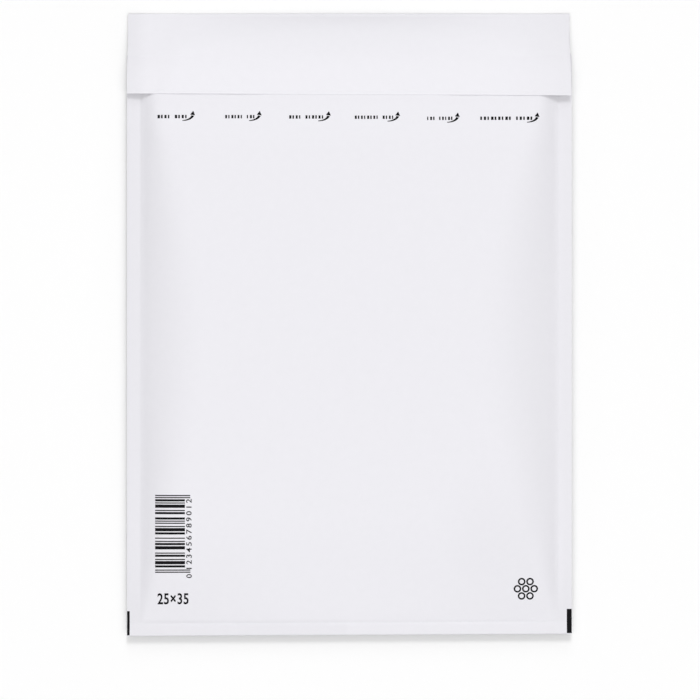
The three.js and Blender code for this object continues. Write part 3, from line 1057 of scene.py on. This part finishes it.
code_left, code_top = sheet_point(SIZE_CODE_PX[0], SIZE_CODE_PX[2])
code_right, code_low = sheet_point(SIZE_CODE_PX[1], SIZE_CODE_PX[3])
code_middle = ((code_left + code_right) / 2, (code_top + code_low) / 2)
lay_on_paper([flat_text(
    SIZE_CODE, code_middle, code_top - code_low, code_right - code_left,
    spacing=SIZE_CODE_SPACING, boldness=SIZE_CODE_BOLDNESS,
)], "size_code")


def emblem_ring(x, y):
    """A flat ring, inset from a filled circle."""
    deselect_all()
    bpy.ops.mesh.primitive_circle_add(
        vertices=EMBLEM_SIDES, radius=EMBLEM_OUTER, fill_type="NGON", location=(x, y, 0))
    bpy.ops.object.mode_set(mode="EDIT")
    bpy.ops.mesh.inset(thickness=EMBLEM_OUTER - EMBLEM_INNER)
    bpy.ops.mesh.delete(type="FACE")
    bpy.ops.object.mode_set(mode="OBJECT")
    bpy.ops.object.transform_apply(location=True, rotation=True, scale=True)
    return bpy.context.object


emblem_x, emblem_y = sheet_point(*EMBLEM_PX)
rings = [emblem_ring(emblem_x, emblem_y)]
for place in range(OUTER_RINGS):
    angle = math.radians(360 / OUTER_RINGS * place)
    rings.append(emblem_ring(emblem_x + EMBLEM_PITCH * math.cos(angle),
                             emblem_y + EMBLEM_PITCH * math.sin(angle)))
lay_on_paper(rings, "bubble_emblem")

setting_bars = []
for left_px, right_px, top_px, low_px in SETTING_BARS_PX:
    bar_left, bar_top = sheet_point(left_px, top_px)
    bar_right, bar_low = sheet_point(right_px, low_px)
    setting_bars.append(flat_block(bar_left, bar_low, bar_right - bar_left, bar_top - bar_low))
lay_on_paper(setting_bars, "setting_bars")


# Adhesive strip: pressure-sensitive hot-melt on the inner side of the flap, rolled on as a
# thin tacky film. It ends where the side seams begin.
ADHESIVE = 0.12 * MM
ADHESIVE_WIDTH = 14 * MM
ADHESIVE_INSET = 4.5 * MM
EDGE_WAVE = 0.25 * MM
EDGE_WAVE_PACE = 5.5 * MM
EDGE_WAVE_SWAY = 2
EDGE_WAVE_SWAY_PACE = 23 * MM
ADHESIVE_COLUMNS = MIDDLE_COLUMNS + SLOPE_COLUMNS
ADHESIVE_ROWS = 8
RIB_PITCH = 1.2 * MM
# The wave texture turns this many radians for each unit of its place.
WAVE_TEXTURE_RATE = 20


def under_flap(x, inset, width, t, depth):
    y = flap_edge_y(x) + inset + width * t
    return y, flap_underside(x, y) - depth


def strip_places(columns):
    """Places across a strip under the flap, on the same columns as the sleeve's."""
    return lambda grid_x: across_places(grid_x * columns / HALF_COLUMNS)


def adhesive_stretch(x, t):
    sway = EDGE_WAVE_SWAY * np.sin(x / EDGE_WAVE_SWAY_PACE)
    ragged = EDGE_WAVE * np.sin(x / EDGE_WAVE_PACE + sway)
    y, z = under_flap(x, ADHESIVE_INSET + ragged * (1 - t), ADHESIVE_WIDTH, t, LAYER_GAP)
    return x, y, z


def hot_melt_adhesive():
    """Rubber-based hot-melt: pale amber, half clear and tacky, so it shines softly. Fine
    ribs about 1.2 mm apart are left along it by the roller."""
    glue = new_material("hot_melt_adhesive")
    place = add_node(glue, "ShaderNodeTexCoord").outputs["Object"]
    ribs = add_node(glue, "ShaderNodeTexWave",
                    {"Scale": 2 * math.pi / (WAVE_TEXTURE_RATE * RIB_PITCH), "Distortion": 1.5,
                     "Detail": 1.0}, {"Vector": place}, bands_direction="Y").outputs[1]
    relief = light_bump(glue, ribs, strength=0.4, depth=0.05 * MM)
    return finish_material(glue, add_node(
        glue, "ShaderNodeBsdfPrincipled", {"Roughness": 0.3, "IOR": 1.5},
        {"Base Color": tone_between(glue, "#e9e1c9", "#e1d7ba", ribs), "Normal": relief},
    ))


adhesive = make_sheet("hot_melt_adhesive_strip", [(ADHESIVE_ROWS, adhesive_stretch)],
                      2 * ADHESIVE_COLUMNS, strip_places(ADHESIVE_COLUMNS), ADHESIVE, -1)
adhesive.data.materials.append(hot_melt_adhesive())
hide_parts("adhesive_strip")
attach(adhesive, "root")


# Release liner: a strip of silicone-coated paper that covers the adhesive until the
# envelope is closed for good. It is wider than the adhesive, so that a finger can lift it.
LINER = 0.08 * MM
LINER_WIDTH = 19 * MM
LINER_INSET = 2 * MM
LINER_COLUMNS = ADHESIVE_COLUMNS + SEAM_COLUMNS // 2
LINER_ROWS = 10


def liner_stretch(x, t):
    y, z = under_flap(x, LINER_INSET, LINER_WIDTH, t, 2 * LAYER_GAP + ADHESIVE)
    return x, y, z


def release_paper():
    """Glassine with a silicone coat: smooth, warm white and satin, with the cloudy look of
    dense pulp over about 3 mm."""
    paper = new_material("silicone_release_paper")
    clouds = noise_over(paper, 3 * MM, detail=3.0)
    return finish_material(paper, add_node(
        paper, "ShaderNodeBsdfPrincipled",
        {"Roughness": 0.35, "IOR": 1.45, "Coat Weight": 0.2, "Coat Roughness": 0.25},
        {"Base Color": tone_between(paper, "#f6f2e6", "#efeadb", clouds)},
    ))


liner = make_sheet("release_liner_strip", [(LINER_ROWS, liner_stretch)],
                   2 * LINER_COLUMNS, strip_places(LINER_COLUMNS), LINER, -1)
liner.data.materials.append(release_paper())
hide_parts("release_liner")
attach(liner, "root")
